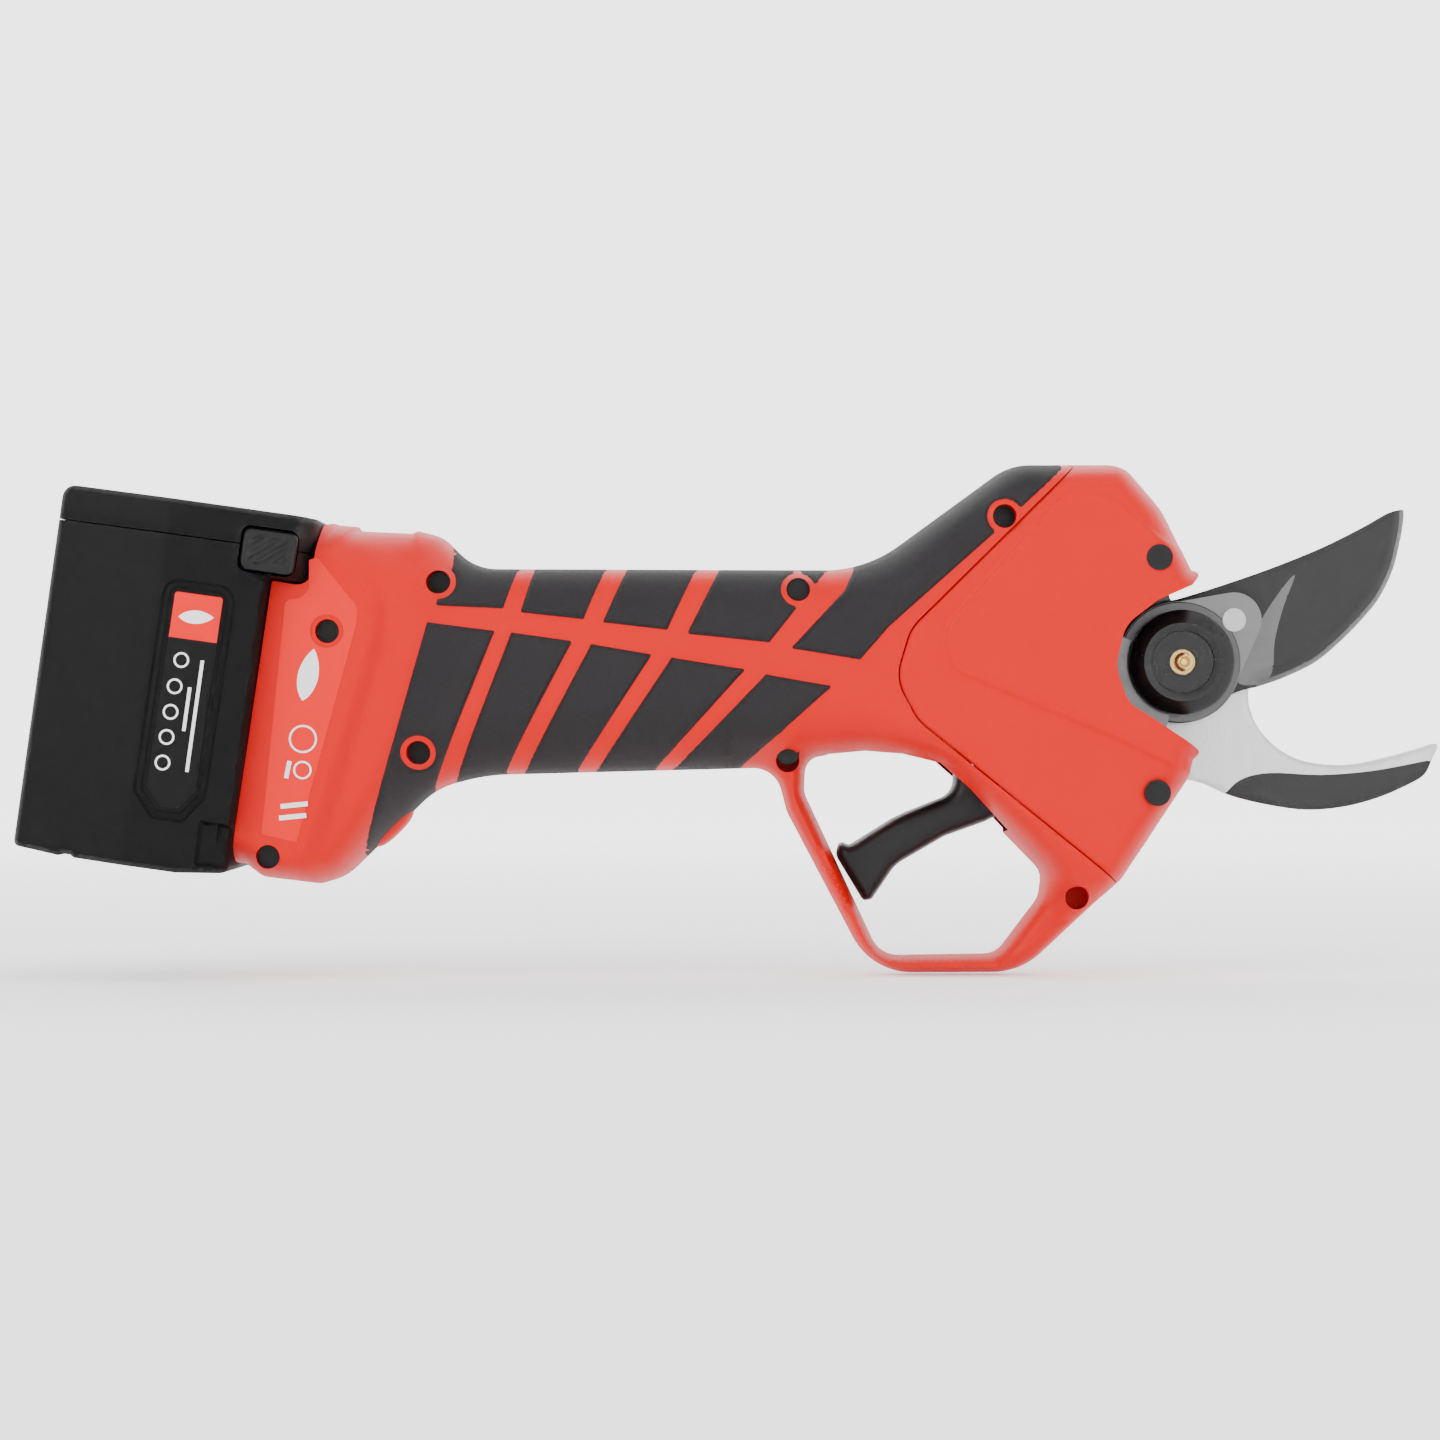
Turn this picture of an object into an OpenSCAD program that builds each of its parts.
// Battery electric pruner: bypass head driven by a motor in the handle, slide-off battery at the rear.
// Units are millimetres. The shapes are drawn around the blade pivot, then moved so that the origin
// is below the middle of the tool, on the level of the trigger guard.
// +X runs along the tool to the blades, +Z is up with the trigger below, -Y is the right-hand side.

/* [Body] */
// Half width of the handle
handle_half = 19; // [17.5:0.5:21]
// Half width of the gear head
head_half = 22; // [21.5:0.5:23]
// Half width of the rear foot
foot_half = 26.5; // [25.5:0.5:28]
// Thickness of the housing walls
wall = 2.4; // [2:0.1:3]
// Height that the grip pads stand out of the shell
pad_rise = 0.8; // [0.5:0.1:1.2]

/* [Blades] */
// Thickness of the cutting blade
blade_t = 3.2; // [2.8:0.1:3.4]
// Thickness of the fixed hook
hook_t = 4.4; // [4:0.1:4.6]
// Radius of the pivot bolt
bolt_r = 5; // [4.5:0.1:5.5]

/* [Drive] */
// Teeth of the bevel pinion
pinion_teeth = 10; // [10:1:10]
// Teeth that a whole drive gear would have
sector_full_teeth = 40; // [40:1:40]
// Distance from the pivot to the large end of the bevel teeth
cone_r = 27; // [27:0.5:27]
// Length of the bevel teeth
bevel_face = 6; // [5:0.5:6]
// Teeth of the sun gear and of each planet gear
planet_teeth = 9; // [9:1:9]
// Module of the planetary gears
planet_module = 0.8; // [0.8:0.05:0.8]
// Radius of the motor
motor_r = 14; // [13:0.5:14]

/* [Battery] */
// Lean of the battery and its rails away from the vertical
pack_lean = 8; // [8:0.5:8]
// Half width of the battery
pack_half = 32; // [32:0.5:33]
// Radius of one cell
cell_r = 9.2; // [9:0.1:9.25]
// Length of one cell
cell_h = 65; // [60:0.5:65.5]

/* [Hidden] */
$fn = 48;
eps = 0.01;

// The pivot's place above the tool's origin
pivot_x = 93.47;
pivot_z = 65.6;

RED = [0.90, 0.10, 0.08];
DARK = [0.14, 0.14, 0.15];
BLACK = [0.07, 0.07, 0.075];
STEEL = [0.74, 0.75, 0.77];
COATED = [0.20, 0.20, 0.205];
ALLOY = [0.66, 0.67, 0.69];
BRASS = [0.80, 0.64, 0.32];
COPPER = [0.72, 0.40, 0.22];
BOARD = [0.05, 0.30, 0.16];
NICKEL = [0.70, 0.69, 0.64];
CELL = [0.16, 0.42, 0.62];

// ---------- helpers ----------

// Points of a polygon whose corners [x, y, r] are rounded to radius r
function unit(v) = v / norm(v);
function corner_arc(a, p, b, r, steps = 3) =
    let (u = unit(a - p), v = unit(b - p), half = acos(max(-1, min(1, u * v))) / 2)
    r < eps || half > 89.5 ? [p] :
    let (reach = min(r / tan(half), norm(a - p) * 0.499, norm(b - p) * 0.499),
         rr = reach * tan(half),
         c = p + unit(u + v) * rr / sin(half),
         s = p + u * reach - c,
         e = p + v * reach - c,
         turn = 180 - 2 * half,
         way = s.x * e.y - s.y * e.x > 0 ? 1 : -1)
    [for (i = [0:steps])
        let (t = way * turn * i / steps)
        c + [s.x * cos(t) - s.y * sin(t), s.x * sin(t) + s.y * cos(t)]];
function rounded(pts) =
    let (n = len(pts))
    [for (i = [0:n - 1])
        each corner_arc([pts[(i + n - 1) % n].x, pts[(i + n - 1) % n].y], [pts[i].x, pts[i].y],
                        [pts[(i + 1) % n].x, pts[(i + 1) % n].y], pts[i][2])];

// Side-view outline (x, z) turned into a plate from y0 to y1
module side_plate(y0, y1) {
    translate([0, y1, 0]) rotate([90, 0, 0]) linear_extrude(y1 - y0) children();
}
// Cylinders along Y and along X
module pin_y(x, z, y0, y1, r) {
    translate([x, y1, z]) rotate([90, 0, 0]) cylinder(h = y1 - y0, r = r);
}
module pin_x(y, z, x0, x1, r) {
    translate([x0, y, z]) rotate([0, 90, 0]) cylinder(h = x1 - x0, r = r);
}
module block(low, high) {
    translate(low) cube(high - low);
}
module at_pivot() {
    translate([pivot_x, 0, pivot_z]) children();
}
// Battery frame: z along the rails, x from the back of the battery to the foot, from the blade pivot
module in_pack() {
    rotate([0, pack_lean, 0]) children();
}
module on_side(side) {
    if (side < 0) children();
    if (side > 0) mirror([0, 1, 0]) children();
}

// ---------- outlines of the housing ----------

body_pts = [
    [-188.6, 16, 1], [-187.2, 27.4, 3], [-172.6, 28.7, 2], [-161, 27.9, 6], [-147.5, 19.6, 12],
    [-70, 19.4, 12], [-38, 40.8, 10], [-12.5, 42, 9], [-0.5, 27.5, 12], [3.6, 18.2, 1.2],
    [-6.5, 12.8, 2], [-14.2, 7.5, 8], [-15.2, -3, 8], [-9.5, -11.4, 5], [3.2, -17.8, 2],
    [3.4, -22, 4], [-11.4, -45.6, 4], [-26, -58, 4], [-29.3, -47, 5], [-40, -32.5, 20],
    [-47.4, -24.9, 8], [-58, -20.6, 10], [-70, -19.6, 6], [-79, -24, 4], [-89.4, -21.9, 6],
    [-140, -22.4, 60], [-156, -25.8, 20], [-171, -40.5, 30], [-180.8, -46.8, 4],
    [-192.2, -45.6, 4], [-197.7, -41.6, 1]];
guard_outer_pts = [
    [-92, -20, 1], [-82.4, -24, 6], [-81.6, -34.2, 8], [-71, -56, 20], [-65, -65.6, 8],
    [-36, -65.6, 12], [-11.4, -45.6, 3], [-16, -38, 2], [-40, -22, 2]];
guard_inner_pts = [
    [-77.9, -23.5, 4], [-72, -19.6, 3], [-58, -20, 10], [-47.4, -24.9, 4], [-36, -36.5, 20],
    [-29, -43.5, 6], [-30, -50.8, 6], [-39, -61.4, 7], [-62, -61.8, 7], [-69, -50, 10],
    [-78, -30, 5]];
// Half width of the housing along the tool, drawn for y < 0
plan_pts = [
    [-199, 0, 0], [-199, -foot_half, 2], [-178, -foot_half, 14], [-166, -handle_half, 14],
    [-96, -handle_half, 40], [-62, -head_half + 1, 30], [-30, -head_half, 30], [0, -head_half, 6],
    [5, -head_half + 3, 4], [5, 0, 0]];
seam_pts = [
    [-22.9, 44, 0], [-22.9, 40.7, 0.5], [-57.2, 6.8, 6], [-59.6, -4, 6], [-55.4, -12.5, 6],
    [-12.6, -46.6, 0], [8, -46, 0], [8, 44, 0]];
notch_pts = [
    [8, 17.2, 0], [3.6, 18.2, 1], [-6.5, 12.8, 2], [-14.2, 7.5, 8], [-15.2, -3, 8],
    [-9.5, -11.4, 5], [3.2, -17.8, 1], [8, -17.8, 0]];

module body_outline() { polygon(rounded(body_pts)); }
module guard_hole() { polygon(rounded(guard_inner_pts)); }
module guard_outline() {
    difference() {
        polygon(rounded(guard_outer_pts));
        guard_hole();
    }
}
module plan_outline() {
    polygon(rounded(plan_pts));
    mirror([0, 1]) polygon(rounded(plan_pts));
}

// Rounded body as a stack of slabs: [inset of the side outline, inset of the plan outline]
slabs = [[0, 8.5], [1.8, 4.6], [4.4, 1.6], [8.5, 0]];
hollow_slabs = [[0, 8.5], [4.4, 1.6]];
module body_form(inset, steps) {
    for (s = steps)
        intersection() {
            side_plate(-40, 40) offset(delta = -s[0] - inset) body_outline();
            translate([0, 0, -80]) linear_extrude(160) offset(delta = -s[1] - inset) plan_outline();
        }
}
guard_half = 9;
module guard_form() {
    side_plate(-guard_half, guard_half) offset(delta = -1.6) guard_outline();
    side_plate(-guard_half + 2.5, guard_half - 2.5) guard_outline();
}

// Screw places on the sides [x, z, y of the boss face]
foot_screws = [[-177.4, 6.2, 24], [-189.6, -40.3, 24]];
handle_screws = [[-155.1, 16.4, 13.5], [-159.2, -18.9, 13.5], [-80.2, 15.2, 14], [-82.3, -19, 12]];
head_screws = [[-37.6, 30.1, 17], [-22, -49.2, 7]];
cover_screw_xz = [[-5.5, 21.6], [-5.9, -27.2]];
all_screws = concat(foot_screws, handle_screws, head_screws);

// Interface to the battery, in the battery frame
face_x = -189.2;

module interface_cut() {
    in_pack() block([face_x - 40, -45, -90], [face_x, 45, -9.8]);
    in_pack() block([face_x - 40, -45, -10], [face_x + 8.4, 45, 20]);
}

// Two hooked rails on the battery slide in these grooves, open at the top
rail_in = 13.2;
rail_out = 18.2;
rail_neck = 16;
rail_low = -62;
module rails(gap) {
    in_pack() for (side = [-1, 1]) on_side(side) {
        block([face_x - 0.5, -rail_neck - gap, rail_low - gap],
              [face_x + 2.2, -rail_in + gap, gap > 0 ? 20 : -12]);
        block([face_x + 2.2 - gap, -rail_out - gap, rail_low - gap],
              [face_x + 4.2 + gap, -rail_in + gap, gap > 0 ? 20 : -12]);
    }
}
module rail_grooves() { rails(0.25); }

trigger_slot_half = 6.6;
cover_post_y = 12.2;

module shell_half(side) {
    difference() {
        union() {
            difference() {
                body_form(0, slabs);
                body_form(wall, hollow_slabs);
                side_plate(-45, 45) guard_hole();
            }
            guard_form();
            for (s = all_screws)
                intersection() {
                    pin_y(s[0], s[1], -s[2], s[2], 4.2);
                    union() {
                        body_form(0.2, slabs);
                        guard_form();
                    }
                }
            // posts for the cover screws, pads for the trigger pin, and the thick wall behind the rails
            for (c = cover_screw_xz) on_side(side) side_plate(-cover_post_y - 7.2, -cover_post_y) intersection() {
                offset(delta = -0.6) body_outline();
                translate(c) circle(r = 6.5);
            }
            pin_y(trigger_axis[0], trigger_axis[1], -12, 12, 3.6);
            intersection() {
                button_frame() translate([0, 0, -9]) cylinder(h = 12, r = 7);
                body_form(0.2, slabs);
            }
            intersection() {
                in_pack() block([face_x - 2, -20, -66], [face_x + 6.6, 20, -9.8]);
                body_form(0.2, slabs);
            }
        }
        block([-260, side < 0 ? 0 : -60, -100], [40, side < 0 ? 60 : 0, 60]);
        // the gear head is open at the side, under its cover
        side_plate(-45, 45) offset(delta = -1.5) polygon(rounded(notch_pts));
        on_side(side) {
            side_plate(-head_half - 1, -head_half + 2.6) polygon(rounded(seam_pts));
            side_plate(-head_half - 1, -cover_post_y) offset(delta = -3.5) intersection() {
                polygon(rounded(seam_pts));
                body_outline();
            }
        }
        // room for the pivot stack, the hook, the frame and the sweep of the sector
        block([-12, -11, -16.5], [8, 12, 16.8]);
        block([-24, hook_y[0] - 2.8, -27], [8, hook_y[1] + 0.4, -6]);
        side_plate(frame_y[0] - 0.3, frame_y[1] + 0.3) offset(delta = 0.5) frame_outline();
        side_plate(-12, -4) intersection() {
            circle(r = cone_r + 1.6);
            translate([-60, -40]) square([57, 80]);
        }
        // trigger slot in the belly
        block([-78, -trigger_slot_half, -34], [-32, trigger_slot_half, -17]);
        // power button
        button_frame() translate([0, 0, -7.5]) cylinder(h = 18, r = 5.6);
        for (s = all_screws) {
            pin_y(s[0], s[1], -40, 40, 1.25);
            pin_y(s[0], s[1], s[2] - 3.2, 40, 2.6);
            pin_y(s[0], s[1], -40, -s[2] + 3.2, 2.6);
        }
        interface_cut();
        rail_grooves();
        pin_y(trigger_axis[0], trigger_axis[1], -11.2, 11.2, 1.5);
        for (c = cover_screw_xz) pin_y(c[0], c[1], -40, 40, 1.6);
        // clear of the motor and gearbox, and of the terminal block
        pin_x(0, 0, -152, -62, motor_r + 0.35);
        in_pack() block([face_x - 4, -12.7, -46.2], [face_x + 8.4, 12.7, -15.8]);
    }
}
module right_shell() { color(RED) at_pivot() shell_half(-1); }
module left_shell() { color(RED) at_pivot() shell_half(1); }

// ---------- grip pads ----------

pads = [
    [[-152.6, 24.5], [-152.4, 22.6], [-138.7, 19.5], [-138.4, 22], [-141.6, 11.1], [-155.6, 11.7]],
    [[-134.9, 22], [-119.8, 22], [-119.8, 19], [-124.7, 8.7], [-138.0, 10.2], [-134.9, 19.4]],
    [[-115.5, 22], [-100.4, 22], [-100.4, 19], [-107.3, 6.5], [-120.8, 8.2], [-115.5, 19]],
    [[-95.8, 22], [-74.4, 22], [-74.4, 19], [-86.3, 3.8], [-103.3, 5.8], [-95.8, 19]],
    [[-68.5, 19.5], [-69, 22], [-52, 33], [-36, 44], [-23.5, 44], [-23.5, 41], [-61.4, 6.4], [-66, -0.5],
     [-81.9, 2.8]],
    [[-157.0, 8.2], [-143.3, 6.5], [-156.3, -26.2], [-158.5, -28.8], [-164.4, -32.5], [-170.6, -40.2]],
    [[-139.8, 6.1], [-127.1, 4.4], [-142.2, -26], [-152.8, -28]],
    [[-123.2, 3.7], [-110.6, 1.6], [-127.8, -25], [-139.1, -26]],
    [[-106.5, 0.9], [-91.2, -1.5], [-111.6, -25], [-123.5, -25]],
    [[-86.9, -2.6], [-73.3, -5.1], [-92.6, -24], [-106.8, -24]]];

module grip_half(side) {
    difference() {
        intersection() {
            on_side(side) side_plate(-30, -0.3) for (p = pads) polygon(p);
            body_form(-pad_rise, slabs);
        }
        body_form(0, slabs);
        button_frame() cylinder(h = 20, r = 7, center = true);
        for (s = all_screws) pin_y(s[0], s[1], -40, 40, 3.5);
        on_side(side) side_plate(-40, -10) offset(delta = 0.3) polygon(rounded(seam_pts));
        in_pack() block([face_x - 40, -45, -90], [face_x + 0.5, 45, 30]);
        guard_form();
    }
}
module right_grip() { color(DARK) at_pivot() grip_half(-1); }
module left_grip() { color(DARK) at_pivot() grip_half(1); }

// ---------- gear head ----------

module head_cover(side) {
    difference() {
        on_side(side) {
            side_plate(-head_half, -head_half + 2.4) intersection() {
                offset(delta = -0.2) polygon(rounded(seam_pts));
                offset(delta = -3.4) body_outline();
            }
            side_plate(-head_half + 2.6, -head_half + 4.4) difference() {
                offset(delta = -4) intersection() {
                    polygon(rounded(seam_pts));
                    body_outline();
                }
                offset(delta = -6) intersection() {
                    polygon(rounded(seam_pts));
                    body_outline();
                }
                translate([-26, -40]) square([40, 84]);
            }
            side_plate(-head_half + 2.35, -head_half + 2.65) intersection() {
                offset(delta = -4) polygon(rounded(seam_pts));
                offset(delta = -4) body_outline();
            }
        }
        for (c = cover_screw_xz) {
            pin_y(c[0], c[1], -40, 40, 1.6);
            on_side(side) pin_y(c[0], c[1], -40, -head_half + 1.2, 2.8);
        }
        side_plate(-45, 45) offset(delta = 0.4) polygon(rounded(notch_pts));
    }
}
module right_head_cover() { color(RED) at_pivot() head_cover(-1); }
module left_head_cover() { color(RED) at_pivot() head_cover(1); }

// Stack at the pivot, from the right-hand side: nut, drive sector, blade, hook, frame
sector_y = [-9, -5.4];
blade_y = [-5.3, -5.3 + blade_t];
hook_y = [-2, -2 + hook_t];
frame_y = [2.5, 10.5];
hub_r = 12.8;
hook_bolt_xz = [[-16, -11.5], [-6, -20.5]];

module frame_outline() {
    polygon(rounded([[-44, 15, 3], [-14, 16, 4], [-7, 24, 5], [-2, 23, 3], [-1, 13, 4], [11, 6, 4],
                     [11, -6, 4], [0, -14, 4], [-3, -24, 4], [-12, -24, 5], [-22, -17, 4], [-44, -15, 3]]));
}
module head_frame() {
    color(ALLOY) at_pivot() difference() {
        union() {
            side_plate(frame_y[0], frame_y[1]) frame_outline();
            // bearing block for the pinion shaft, bolted to the gearbox
            block([-44, -13, -13], [-33.5, 10.4, 13]);
        }
        pin_y(0, 0, 0, 20, bolt_r);
        pin_x(0, 0, -50, -30, 8.02);
        pin_x(0, 0, -34, -17, 9.2);
        for (b = hook_bolt_xz) pin_y(b[0], b[1], 0, 20, 1.7);
    }
}

hook_inner_pts = [
    [15.3, -4.6], [15.3, -7.7], [15.8, -10.2], [17.3, -13.6], [20.2, -17.0], [23.6, -19.4], [27.5, -20.9],
    [32.9, -21.6], [38.2, -21.4], [45.0, -19.9], [50.9, -18.3], [54.8, -17.0]];
hook_outer_pts = [
    [55.4, -17.6], [54.3, -20.1], [52.6, -23.6], [48.9, -25.9], [42.6, -28.6], [35.3, -30.5], [27.5, -31.1],
    [19.7, -30.1], [11.9, -28.2], [6, -25.6], [2, -21.5]];
module hook_blade() {
    color(STEEL) at_pivot() difference() {
        union() {
            side_plate(hook_y[0], hook_y[1])
                polygon(concat([[9.8, -0.5]], hook_inner_pts, hook_outer_pts,
                               [[-2, -25], [-9, -25], [-21, -14], [-20, -8], [-11, -6]]));
            pin_y(0, 0, hook_y[0], hook_y[1], 12.4);
        }
        pin_y(0, 0, -20, 20, bolt_r);
        for (b = hook_bolt_xz) pin_y(b[0], b[1], -20, 20, 2.05);
        // room for the pinion
        pin_x(0, 0, -40, -18.4, 8.8);
    }
}
module hook_bolts() {
    color(STEEL) at_pivot() for (b = hook_bolt_xz) {
        pin_y(b[0], b[1], hook_y[0] - 0.1, 10, 1.7);
        pin_y(b[0], b[1], hook_y[0] - 2.4, hook_y[0], 3.4);
    }
}

blade_pts = [
    [-3.8, 12.6], [0, 13.4], [8.8, 16.1], [19.5, 19.8], [30.2, 24.1], [38.9, 28.4], [44.2, 31.4], [46.7, 32.2],
    [48, 32.1], [47.9, 29.2], [47.1, 24.8], [45.7, 19.5], [42.8, 13.6], [38.9, 8.8], [34, 3.9],
    [29.2, 0], [23.3, -2.9], [17.8, -4.9], [12, -6.4], [4, -11]];
pin_xz = [11.4, 8.9];
module cutting_blade() {
    color(COATED) at_pivot() difference() {
        union() {
            side_plate(blade_y[0], blade_y[1]) polygon(blade_pts);
            pin_y(0, 0, blade_y[0], blade_y[1], hub_r - 0.4);
        }
        pin_y(0, 0, -20, 20, bolt_r + 1);
        pin_y(pin_xz[0], pin_xz[1], -20, 20, 2.45);
    }
}

// ---------- bevel drive ----------

cone_ratio = sector_full_teeth / pinion_teeth;
pinion_pitch_r = cone_r / cone_ratio;
bevel_module = 2 * pinion_pitch_r / pinion_teeth;
bevel_small = (cone_r - bevel_face) / cone_r;
sector_first = -8;
sector_last = 2;
sector_pitch = 360 / sector_full_teeth;

// Spur outline: each tooth is a trapezium with a broken tip
function tooth_pts(n, pitch_r, add, ded, root_w, pitch_w, tip_w, at) = [
    for (k = [[-root_w, pitch_r - ded], [-pitch_w, pitch_r], [-tip_w, pitch_r + add],
              [tip_w, pitch_r + add], [pitch_w, pitch_r], [root_w, pitch_r - ded]])
        let (a = at + atan(k[0] / k[1]))
        [k[1] * cos(a), k[1] * sin(a)]];
module spur(n, m, add, ded, slim = 0, phase = 0) {
    pitch_r = n * m / 2;
    w = PI * m / 4 - slim;
    polygon([for (i = [0:n - 1])
        each tooth_pts(n, pitch_r, add * m, ded * m, w + 0.30 * m, w, w - 0.44 * add * m,
                       phase + 360 * i / n)]);
}

module bevel_pinion() {
    color(STEEL) at_pivot() {
        // teeth shrink towards the pivot, with a gap facing the sector at rest
        translate([-cone_r, 0, 0]) rotate([0, 90, 0]) rotate([0, 0, 90 + 180 / pinion_teeth])
            linear_extrude(height = bevel_face, scale = bevel_small)
                spur(pinion_teeth, bevel_module, 0.8, 1.0, 0.14);
        pin_x(0, 0, -cone_r - 5.2, -cone_r, 5.2);
        pin_x(0, 0, -62, -cone_r - 5, 4);
    }
}

module sector_tooth(i) {
    // four corner rays run to the pivot, so the tooth tapers with the pinion
    m = bevel_module;
    w = PI * m / 4 - 0.14;
    pitch_y = -pinion_pitch_r;
    ring = [[-w - 0.4 * m, pitch_y - 1.15 * m], [-w + 0.35 * m, pitch_y + 0.74 * m],
            [w - 0.35 * m, pitch_y + 0.74 * m], [w + 0.4 * m, pitch_y - 1.15 * m]];
    rotate([0, i * sector_pitch, 0])
        polyhedron(
            points = [for (s = [1, bevel_small]) each [for (c = ring) [-cone_r * s, c.y * s, c.x * s]]],
            faces = [[0, 1, 2, 3], [7, 6, 5, 4], [4, 5, 1, 0], [5, 6, 2, 1], [6, 7, 3, 2], [7, 4, 0, 3]]);
}
// Slice of a disc that the teeth stand on
module sector_wedge(r) {
    low = (sector_first - 0.6) * sector_pitch;
    high = (sector_last + 0.6) * sector_pitch;
    polygon(concat([[0, 0]], [for (k = [0:12]) let (a = low + (high - low) * k / 12) [-r * cos(a), r * sin(a)]]));
}
module drive_sector() {
    back_y = -11.6;
    rim_in = cone_r - bevel_face - 0.6;
    rim_out = cone_r + 0.6;
    rim_slope = 0.3;
    color(STEEL) at_pivot() difference() {
        union() {
            pin_y(0, 0, sector_y[0], sector_y[1], hub_r);
            // lobe that carries the drive pin
            side_plate(sector_y[0], sector_y[1]) hull() {
                circle(r = hub_r - 0.2, $fn = 32);
                translate(pin_xz) circle(r = 5.8, $fn = 32);
            }
            // toothed rim, and the web that joins it to the hub behind the pinion
            intersection() {
                rotate([90, 0, 0]) rotate_extrude($fn = 64)
                    polygon([[rim_in, rim_in * rim_slope], [rim_out, rim_out * rim_slope],
                             [rim_out, -back_y], [rim_in, -back_y]]);
                side_plate(back_y - 1, 0) sector_wedge(rim_out + 6);
            }
            side_plate(back_y, sector_y[0] + 1.6) sector_wedge(cone_r - bevel_face);
            for (i = [sector_first:sector_last]) sector_tooth(i);
        }
        pin_y(0, 0, -20, 20, bolt_r + 1);
        pin_y(0, 0, -20, sector_y[0], 11.4);
        pin_y(pin_xz[0], pin_xz[1], -20, 20, 2.45);
    }
}
module drive_pin() {
    color(STEEL) at_pivot() pin_y(pin_xz[0], pin_xz[1], sector_y[0] - 0.4, blade_y[1] - 0.1, 2.45);
}
module pivot_bush() {
    color(BRASS) at_pivot() difference() {
        pin_y(0, 0, sector_y[0] + 0.05, blade_y[1] - 0.05, bolt_r + 1);
        pin_y(0, 0, -20, 20, bolt_r + 0.03);
    }
}

nut_r = 10.7;
module pivot_bolt() {
    color(STEEL) at_pivot() difference() {
        union() {
            pin_y(0, 0, -13, frame_y[1], bolt_r);
            pin_y(0, 0, frame_y[1], frame_y[1] + 5, 8.5);
        }
        pin_y(0, 0, -14, -4, 2);
        translate([0, frame_y[1] + 5.1, 0]) rotate([90, 0, 0]) cylinder(h = 3.4, r = 4.6, $fn = 6);
    }
}
module pivot_nut() {
    color(BLACK) at_pivot() difference() {
        rotate([90, 0, 0]) rotate_extrude($fn = 64)
            polygon([[bolt_r, 9.35], [nut_r, 9.35], [nut_r, 14.4], [9.4, 16], [6.6, 16], [6.2, 15.4],
                     [2.8, 15.4], [2.8, 13.1], [bolt_r, 13.1]]);
        for (a = [45:90:315]) rotate([0, a, 0]) pin_y(7.9, 0, -17, -14.4, 0.9);
    }
}
module grease_nipple() {
    color(BRASS) at_pivot() rotate([90, 0, 0]) difference() {
        union() {
            translate([0, 0, 5]) cylinder(h = 8.2, r = 1.98);
            translate([0, 0, 13.15]) cylinder(h = 1.6, r = 2.7);
            translate([0, 0, 14.7]) cylinder(h = 3.6, r = 2);
            translate([0, 0, 18.3]) cylinder(h = 0.8, r1 = 2, r2 = 1.3, $fn = 32);
        }
        translate([0, 0, 17.4]) cylinder(h = 3, r = 0.8);
    }
}
module thrust_washer() {
    color(BRASS) at_pivot() difference() {
        pin_y(0, 0, -9.33, -9.02, 10.2);
        pin_y(0, 0, -20, 20, bolt_r + 0.05);
    }
}

// ---------- gearbox and motor ----------

ring_teeth = 3 * planet_teeth;
planet_orbit = planet_teeth * planet_module;
gear_x = [-84, -76];
gearbox_x = [-92, -44.1];
gearbox_r = 13.5;

module gearbox_case() {
    color(ALLOY) at_pivot() difference() {
        union() {
            pin_x(0, 0, gearbox_x[0], -62, gearbox_r);
            pin_x(0, 0, -62.1, gearbox_x[1], 11);
        }
        // internal ring teeth, a gap facing each planet
        translate([gear_x[0] - 1, 0, 0]) rotate([0, 90, 0]) rotate([0, 0, 90])
            linear_extrude(gear_x[1] - gear_x[0] + 2)
                spur(ring_teeth, planet_module, 1.0, 0.85, -0.16, 180);
        pin_x(0, 0, gear_x[1] + 0.7, -66, 12);
        pin_x(0, 0, gearbox_x[0] - 1, gear_x[0] - 0.7, 12);
        pin_x(0, 0, -67, -40, 4.6);
        pin_x(0, 0, -52, -40, 8.02);
    }
}
// Two ball bearings as rings, on the output shaft
module output_bearing() {
    color(STEEL) at_pivot() for (x = [-51.5, -40]) {
        for (r = [[8, 6.8], [5.2, 4.05]]) difference() {
            pin_x(0, 0, x, x + 5, r[0]);
            pin_x(0, 0, x - 1, x + 6, r[1]);
        }
        for (a = [0:45:315]) rotate([a, 0, 0]) translate([x + 2.5, 6, 0]) sphere(r = 1.05, $fn = 20);
    }
}
module planet_carrier() {
    color(STEEL) at_pivot() {
        difference() {
            pin_x(0, 0, gear_x[1] + 1, -68, 10.9);
            pin_x(0, 0, gear_x[1], -67, 4);
        }
        for (k = [0:2]) rotate([120 * k, 0, 0]) pin_x(-planet_orbit, 0, gear_x[0], gear_x[1] + 1.1, 1.5);
    }
}
module planet(k) {
    color(BRASS) at_pivot() rotate([120 * k, 0, 0]) difference() {
        translate([gear_x[0] + 0.4, -planet_orbit, 0]) rotate([0, 90, 0]) rotate([0, 0, 90])
            linear_extrude(gear_x[1] - gear_x[0] - 0.2)
                spur(planet_teeth, planet_module, 0.72, 0.98, 0.12, 180);
        pin_x(-planet_orbit, 0, gear_x[0] - 1, gear_x[1] + 2, 1.55);
    }
}
module planet_gear_1() { planet(0); }
module planet_gear_2() { planet(1); }
module planet_gear_3() { planet(2); }
module sun_gear() {
    color(STEEL) at_pivot() difference() {
        translate([gear_x[0] + 0.2, 0, 0]) rotate([0, 90, 0]) rotate([0, 0, 90])
            linear_extrude(gear_x[1] - gear_x[0])
                spur(planet_teeth, planet_module, 0.72, 0.98, 0.12, 180);
        pin_x(0, 0, -90, -70, 1.5);
    }
}
motor_x = [-144, -96];
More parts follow.
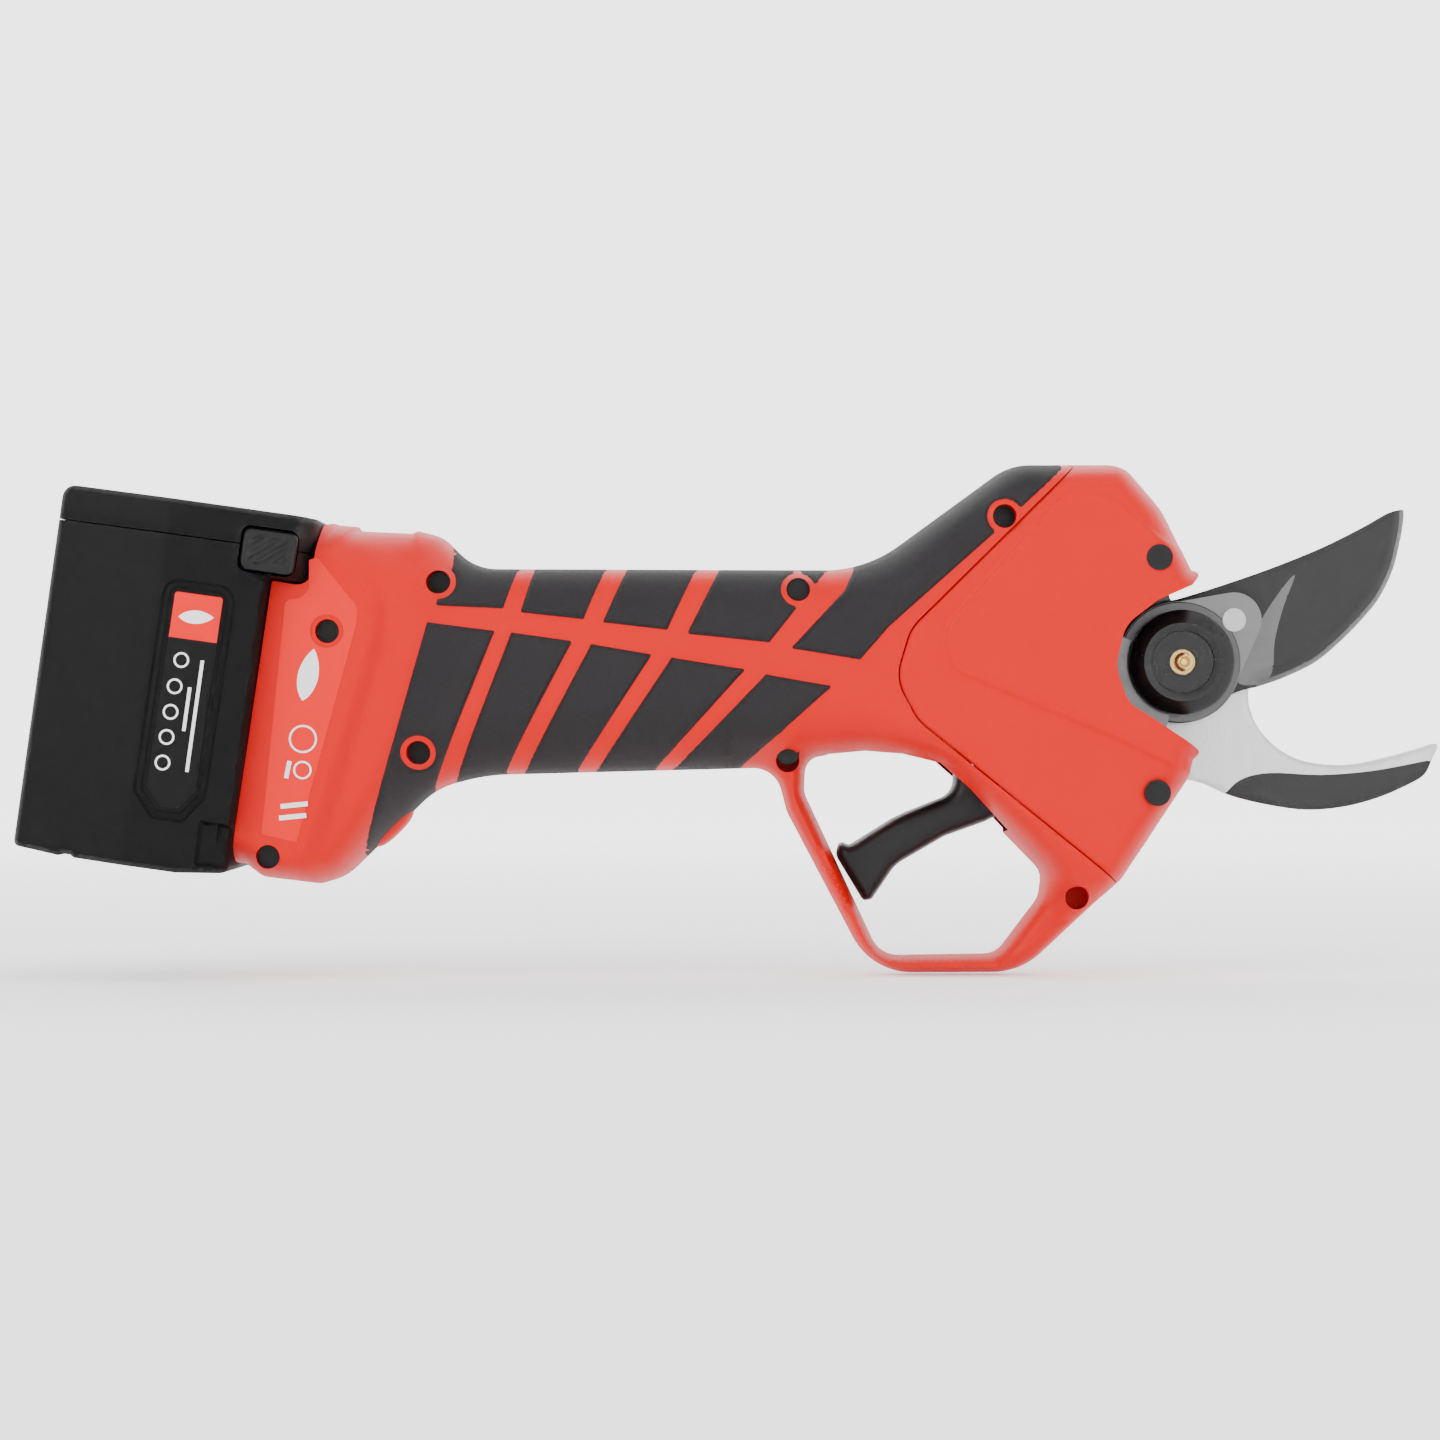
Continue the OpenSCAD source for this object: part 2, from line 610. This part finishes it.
module motor_rotor() {
    color(STEEL) at_pivot() {
        pin_x(0, 0, -148, gear_x[1] + 0.1, 1.5);
        pin_x(0, 0, -138, -102, 6.2);
    }
}
module motor_stator() {
    color(COPPER) at_pivot() difference() {
        pin_x(0, 0, -136, -104, 12.2);
        pin_x(0, 0, -137, -103, 6.8);
        for (a = [0:60:300]) rotate([a, 0, 0]) block([-137, 7.6, -1.1], [-103, 11, 1.1]);
    }
}
module motor_case() {
    color(ALLOY) at_pivot() difference() {
        pin_x(0, 0, motor_x[0], gearbox_x[0], motor_r - 0.2);
        pin_x(0, 0, motor_x[0] - 1, -98.4, 12.3);
        pin_x(0, 0, -100, -90, 1.8);
        pin_x(0, 0, -95, -90, 11);
        for (a = [30:60:330]) rotate([a, 0, 0]) pin_x(9, 0, -100, -94, 1.1);
    }
}
module motor_end_cap() {
    color(BLACK) at_pivot() difference() {
        union() {
            pin_x(0, 0, -149, motor_x[0] - 0.05, motor_r - 0.2);
            pin_x(0, 0, motor_x[0] - 0.1, -141, 12.2);
        }
        pin_x(0, 0, -148.4, -140, 1.8);
        pin_x(0, 0, -144, -140, 10.6);
        for (a = [0:120:240]) rotate([a, 0, 0]) pin_x(8.4, 0, -150, -140, 1.7);
    }
}

// ---------- electronics ----------

module control_board() {
    color(BOARD) at_pivot() {
        block([-180, -14, -9.6], [-151, 14, -8]);
        for (x = [-176, -169]) for (y = [-10, 3]) block([x, y, -8.1], [x + 5, y + 7, -6.4]);
        for (y = [-8, 8]) translate([-156, y, -8.1]) cylinder(h = 8, r = 3.4);
    }
}
module trigger_sensor() {
    color(BOARD) at_pivot() {
        block([-62, -5.5, -16.4], [-46, 5.5, -15.2]);
        block([-57.5, -2, -17.6], [-54.5, 2, -16.3]);
    }
}
module phase_leads() {
    color(COPPER) at_pivot() for (k = [0:2]) rotate([120 * k, 0, 0]) pin_x(8.4, 0, -150.5, -140.5, 1.1);
}
module battery_leads() {
    color(RED) at_pivot() for (y = [-9.4, 9.4]) pin_x(y, -4.9, -182.2, -168, 1.4);
}
contact_y = [-9.4, 9.4];
module terminal_block() {
    color(BLACK) at_pivot() in_pack() difference() {
        block([face_x - 0.2, -12.5, -46], [face_x + 8, 12.5, -16]);
        for (y = contact_y) block([face_x - 1, y - 0.5, -39.5], [face_x + 9, y + 0.5, -22.5]);
    }
}
module contact_blades() {
    color(COPPER) at_pivot() in_pack() for (y = contact_y)
        block([face_x - 5, y - 0.5, -39.5], [face_x + 9, y + 0.5, -22.5]);
}
module button_frame() {
    translate([-165.5, 0, -34.8]) rotate([0, 135, 0]) children();
}
module power_button() {
    color(RED) at_pivot() button_frame() {
        translate([0, 0, -3.2]) cylinder(h = 3.9, r = 5.3);
        translate([0, 0, 0.65]) cylinder(h = 1, r1 = 5.3, r2 = 4.1, $fn = 40);
    }
}
module button_spring() {
    color(STEEL) at_pivot() button_frame() difference() {
        translate([0, 0, -7.4]) cylinder(h = 4.1, r = 2.6);
        translate([0, 0, -8]) cylinder(h = 6, r = 1.9);
    }
}

// ---------- trigger ----------

trigger_axis = [-36.5, -26];
trigger_pts = [
    [-40.5, -33.6, 2], [-48.9, -36.6, 8], [-59.4, -42.7, 8], [-64.4, -50, 1.2], [-66.2, -50.4, 1],
    [-72.1, -40.6, 2.5], [-71.2, -37.6, 1.4], [-69.2, -38.6, 1], [-60.2, -33, 4], [-57.3, -31.6, 3],
    [-47.3, -27.6, 4], [-47, -22, 2], [-40, -21.6, 3], [-32.6, -23, 3], [-32.6, -29.5, 3]];
module trigger() {
    color(BLACK) at_pivot() difference() {
        side_plate(-5.8, 5.8) polygon(rounded(trigger_pts));
        pin_y(trigger_axis[0], trigger_axis[1], -10, 10, 1.55);
        pin_y(-45, -24.2, -3, 3, 1.5);
        block([-43.4, -2.7, -25], [-38.6, 2.7, -20]);
    }
}
module trigger_magnet() {
    color(NICKEL) at_pivot() pin_y(-45, -24.2, -3, 3, 1.5);
}
module trigger_pin() {
    color(STEEL) at_pivot() pin_y(trigger_axis[0], trigger_axis[1], -11, 11, 1.5);
}
module trigger_spring() {
    color(STEEL) at_pivot() translate([-41, 0, -24.9]) difference() {
        cylinder(h = 8.4, r = 2.2);
        translate([0, 0, -1]) cylinder(h = 12, r = 1.6);
    }
}

// ---------- fasteners ----------

module housing_screws() {
    color(STEEL) at_pivot() for (s = all_screws) {
        pin_y(s[0], s[1], -s[2] + 3.2, s[2] - 6, 1.25);
        pin_y(s[0], s[1], -s[2] + 1, -s[2] + 3.2, 2.4);
    }
}
module cover_screws() {
    color(STEEL) at_pivot() for (c = cover_screw_xz) for (side = [-1, 1]) on_side(side) {
        pin_y(c[0], c[1], -head_half + 0.2, -head_half + 1.2, 2.7);
        pin_y(c[0], c[1], -head_half + 1.2, -cover_post_y, 1.6);
    }
}

// ---------- foot panels ----------

panel_pts = [
    [-186, 12.7, 1.5], [-182.8, 12.9, 2], [-181.1, 14.9, 1.5], [-181.1, 20.9, 0.4], [-179.3, 21.3, 0.5],
    [-171, 11, 3], [-171.3, 7.6, 4], [-183.7, -37.3, 0.5], [-190.9, -35.6, 0.5]];
module foot_panels() {
    color([1, 0.16, 0.15]) at_pivot() for (side = [-1, 1]) on_side(side) difference() {
        side_plate(-foot_half - 0.25, -foot_half) intersection() {
            polygon(rounded(panel_pts));
            translate([-200, -45]) square([23.5, 70]);
        }
        pin_y(-177.4, 6.2, -40, 0, 4.2);
        pin_y(-189.6, -40.3, -40, 0, 4.2);
    }
}

// ---------- battery ----------

pack_x0 = -234.6;
pack_top = 4;
lid_z = -3.3;
pack_bottom = -72;
pack_back_half = 26;
pack_pts = [
    [pack_x0, pack_back_half, 5], [-211, pack_half, 8], [face_x - 0.35, pack_half, 2],
    [face_x - 0.35, -pack_half, 2], [-211, -pack_half, 8], [pack_x0, -pack_back_half, 5]];
nose_pts = [
    [pack_x0, pack_back_half, 5], [-211, pack_half, 8], [face_x + 4, pack_half, 4], [face_x + 8, 24, 3],
    [face_x + 8, -24, 3], [face_x + 4, -pack_half, 4], [-211, -pack_half, 8], [pack_x0, -pack_back_half, 5]];
latch_x = [-196.4, -184.0];
latch_z = [-9.4, 1.2];
cell_pitch = 18.8;
cells = [for (u = [-201.8, -220.5]) for (y = [-1:1]) [u, y * cell_pitch]];
lid_screws = [[-211.2, -9.4], [-211.2, 9.4], [-186.4, -12], [-186.4, 12]];
lid_post_r = 2.6;
cell_z = -69;

module cell_room(inset) {
    offset(delta = -inset) polygon(
        [[pack_x0, pack_back_half], [-211, pack_half], [-191.3, pack_half], [-191.3, -pack_half],
         [-211, -pack_half], [pack_x0, -pack_back_half]]);
}
module latch_pocket(side) {
    on_side(side) block([latch_x[0], -pack_half - 2, latch_z[0]], [latch_x[1], -pack_half + 4.6, latch_z[1]]);
}
module battery_case() {
    color(BLACK) at_pivot() {
        in_pack() difference() {
            union() {
                translate([0, 0, pack_bottom]) linear_extrude(lid_z - pack_bottom) polygon(rounded(pack_pts));
                translate([0, 0, -9.5]) linear_extrude(lid_z + 9.5) polygon(rounded(nose_pts));
            }
            translate([0, 0, pack_bottom + 2.4]) linear_extrude(80) difference() {
                cell_room(1.2);
                for (c = lid_screws) translate(c) circle(r = lid_post_r);
            }
            for (c = lid_screws) translate([c[0], c[1], -9]) cylinder(h = 10, r = 1.45);
            // slots for the contact blades, open at the bottom
            for (y = contact_y) block([face_x - 6.2, y - 0.9, -75], [face_x + 1, y + 0.9, -22]);
            for (side = [-1, 1]) latch_pocket(side);
        }
        rails(0);
    }
}
module battery_lid() {
    color(BLACK) at_pivot() in_pack() difference() {
        union() {
            translate([0, 0, lid_z + 0.05]) linear_extrude(5.6) polygon(rounded(nose_pts));
            translate([0, 0, lid_z + 5.6]) linear_extrude(pack_top - lid_z - 5.6) offset(delta = -1.6)
                polygon(rounded(nose_pts));
        }
        translate([0, 0, lid_z - 1]) linear_extrude(4.8) difference() {
            cell_room(3.4);
            for (c = lid_screws) translate(c) circle(r = 3.4);
        }
        for (c = lid_screws) {
            translate([c[0], c[1], -10]) cylinder(h = 30, r = 1.5);
            translate([c[0], c[1], 2.2]) cylinder(h = 30, r = 2.8);
        }
        for (side = [-1, 1]) latch_pocket(side);
    }
}
module battery_screws() {
    color(STEEL) at_pivot() in_pack() for (c = lid_screws) {
        translate([c[0], c[1], 2.2]) cylinder(h = 1.5, r = 2.6);
        translate([c[0], c[1], -8.9]) cylinder(h = 11.2, r = 1.45);
    }
}
module battery_cells() {
    color(CELL) at_pivot() in_pack() for (c = cells) translate([c[0], c[1], cell_z]) cylinder(h = cell_h, r = cell_r);
}
module cell_holders() {
    color(DARK) at_pivot() in_pack() for (z = [cell_z + 2, cell_z + cell_h - 14]) translate([0, 0, z]) difference() {
        linear_extrude(6) difference() {
            cell_room(1.4);
            for (c = lid_screws) translate(c) circle(r = lid_post_r + 0.2);
            for (y = contact_y) translate([-200, y - 2]) square([20, 4]);
        }
        for (c = cells) translate([c[0], c[1], -1]) cylinder(h = 9, r = cell_r + 0.05);
    }
}
module cell_links() {
    color(NICKEL) at_pivot() in_pack() {
        for (y = [-1:1]) translate([-211.2, y * cell_pitch, cell_z + cell_h + 0.15])
            cube([24, 8, 0.25], center = true);
        for (y = [-0.5, 0.5]) for (u = [-201.8, -220.5]) translate([u, y * cell_pitch, cell_z - 0.15])
            cube([8, 24, 0.25], center = true);
    }
}
module battery_board() {
    color(BOARD) at_pivot() in_pack() {
        block([-206, -15, -1.9], [-195, 15, -0.5]);
        for (y = [-11, 5]) block([-204, y, -2.9], [-199, y + 6, -1.8]);
    }
}
module battery_terminals() {
    color(COPPER) at_pivot() in_pack() for (y = contact_y) for (s = [-1, 1])
        block([face_x - 5.6, y + s * 0.72 - 0.17, -40], [face_x - 1.6, y + s * 0.72 + 0.17, -24]);
}
label_pts = [
    [-207.9, -14.8, 0.6], [-198, -14.8, 0.6], [-198.2, -54.7, 0.8], [-201.4, -58.8, 0.8],
    [-204.9, -58.8, 0.8], [-208.1, -55.2, 0.8]];
module battery_labels() {
    color([0.95, 0.16, 0.14]) at_pivot() in_pack() for (side = [-1, 1]) on_side(side)
        side_plate(-pack_half - 0.25, -pack_half - 0.01) polygon(rounded(label_pts));
}
module latch(side) {
    color(BLACK) at_pivot() in_pack() on_side(side) {
        side_plate(-pack_half - 0.9, -pack_half + 2) offset(delta = -0.3) polygon(rounded(
            [[latch_x[0], latch_z[0], 2], [latch_x[1], latch_z[0], 2], [latch_x[1], latch_z[1], 2],
             [latch_x[0], latch_z[1], 2]]));
    }
}
module right_latch() { latch(-1); }
module left_latch() { latch(1); }
module latch_spring(side) {
    color(STEEL) at_pivot() in_pack() on_side(side)
        translate([(latch_x[0] + latch_x[1]) / 2, -pack_half + 2, (latch_z[0] + latch_z[1]) / 2])
            rotate([-90, 0, 0]) difference() {
            cylinder(h = 2.6, r = 2.4);
            translate([0, 0, -1]) cylinder(h = 6, r = 1.8);
        }
}
module right_latch_spring() { latch_spring(-1); }
module left_latch_spring() { latch_spring(1); }

right_shell();
left_shell();
right_grip();
left_grip();
right_head_cover();
left_head_cover();
head_frame();
hook_blade();
hook_bolts();
housing_screws();
cover_screws();
foot_panels();
gearbox_case();
output_bearing();
motor_case();
motor_stator();
motor_end_cap();
control_board();
trigger_sensor();
phase_leads();
battery_leads();
terminal_block();
contact_blades();
button_spring();
trigger_spring();
trigger_pin();
pivot_bolt();
pivot_nut();
grease_nipple();
thrust_washer();
cutting_blade();
drive_sector();
drive_pin();
pivot_bush();
bevel_pinion();
planet_carrier();
planet_gear_1();
planet_gear_2();
planet_gear_3();
sun_gear();
motor_rotor();
trigger();
trigger_magnet();
power_button();
battery_case();
battery_lid();
battery_cells();
cell_holders();
cell_links();
battery_board();
battery_terminals();
battery_screws();
battery_labels();
right_latch();
left_latch();
right_latch_spring();
left_latch_spring();
